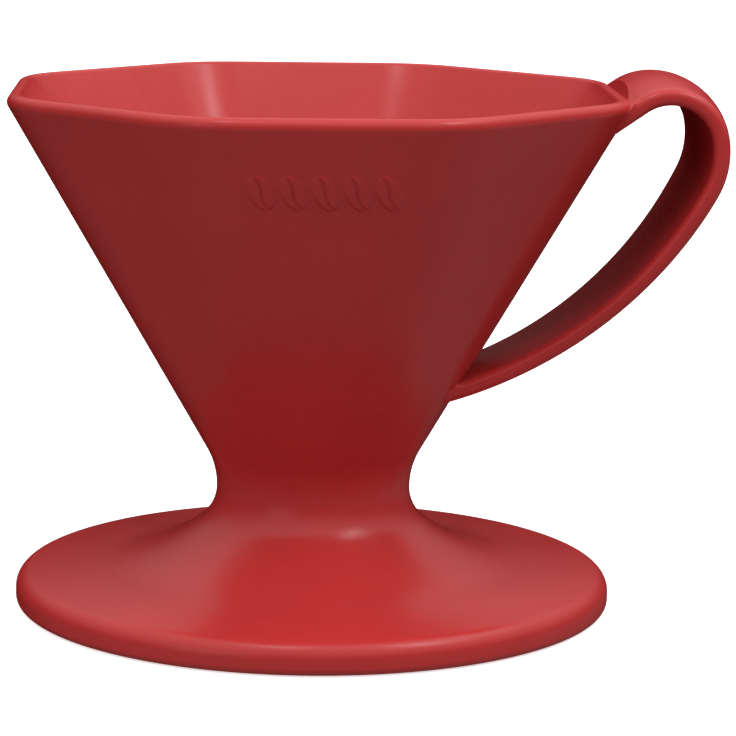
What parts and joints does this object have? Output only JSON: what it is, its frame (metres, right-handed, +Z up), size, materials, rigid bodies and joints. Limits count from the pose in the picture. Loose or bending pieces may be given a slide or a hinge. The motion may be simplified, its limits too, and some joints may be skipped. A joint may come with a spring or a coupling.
{
  "type": "pour over dripper",
  "caption": "Pour over coffee dripper: octagonal red plastic funnel on a round trumpet foot, with a wide strap handle looping from the rim down to the funnel wall.",
  "frame": {"origin": "on the funnel's axis, in the plane that the foot stands on", "axes": "+Z up the funnel's axis, +X towards the handle, -Y towards the flat that carries the raised beans"},
  "size_m": [0.1346, 0.1148, 0.1025],
  "materials": {
    "red_plastic": "satin moulded plastic",
    "red_silicone": "matte silicone"
  },
  "bodies": {
    "root": {"filter_cone": "red_plastic", "pedestal_base": "red_plastic", "handle": "red_plastic", "outlet_nozzle": "red_plastic", "neck_seal": "red_silicone", "cup_ring": "red_silicone"}
  },
  "joints": []
}
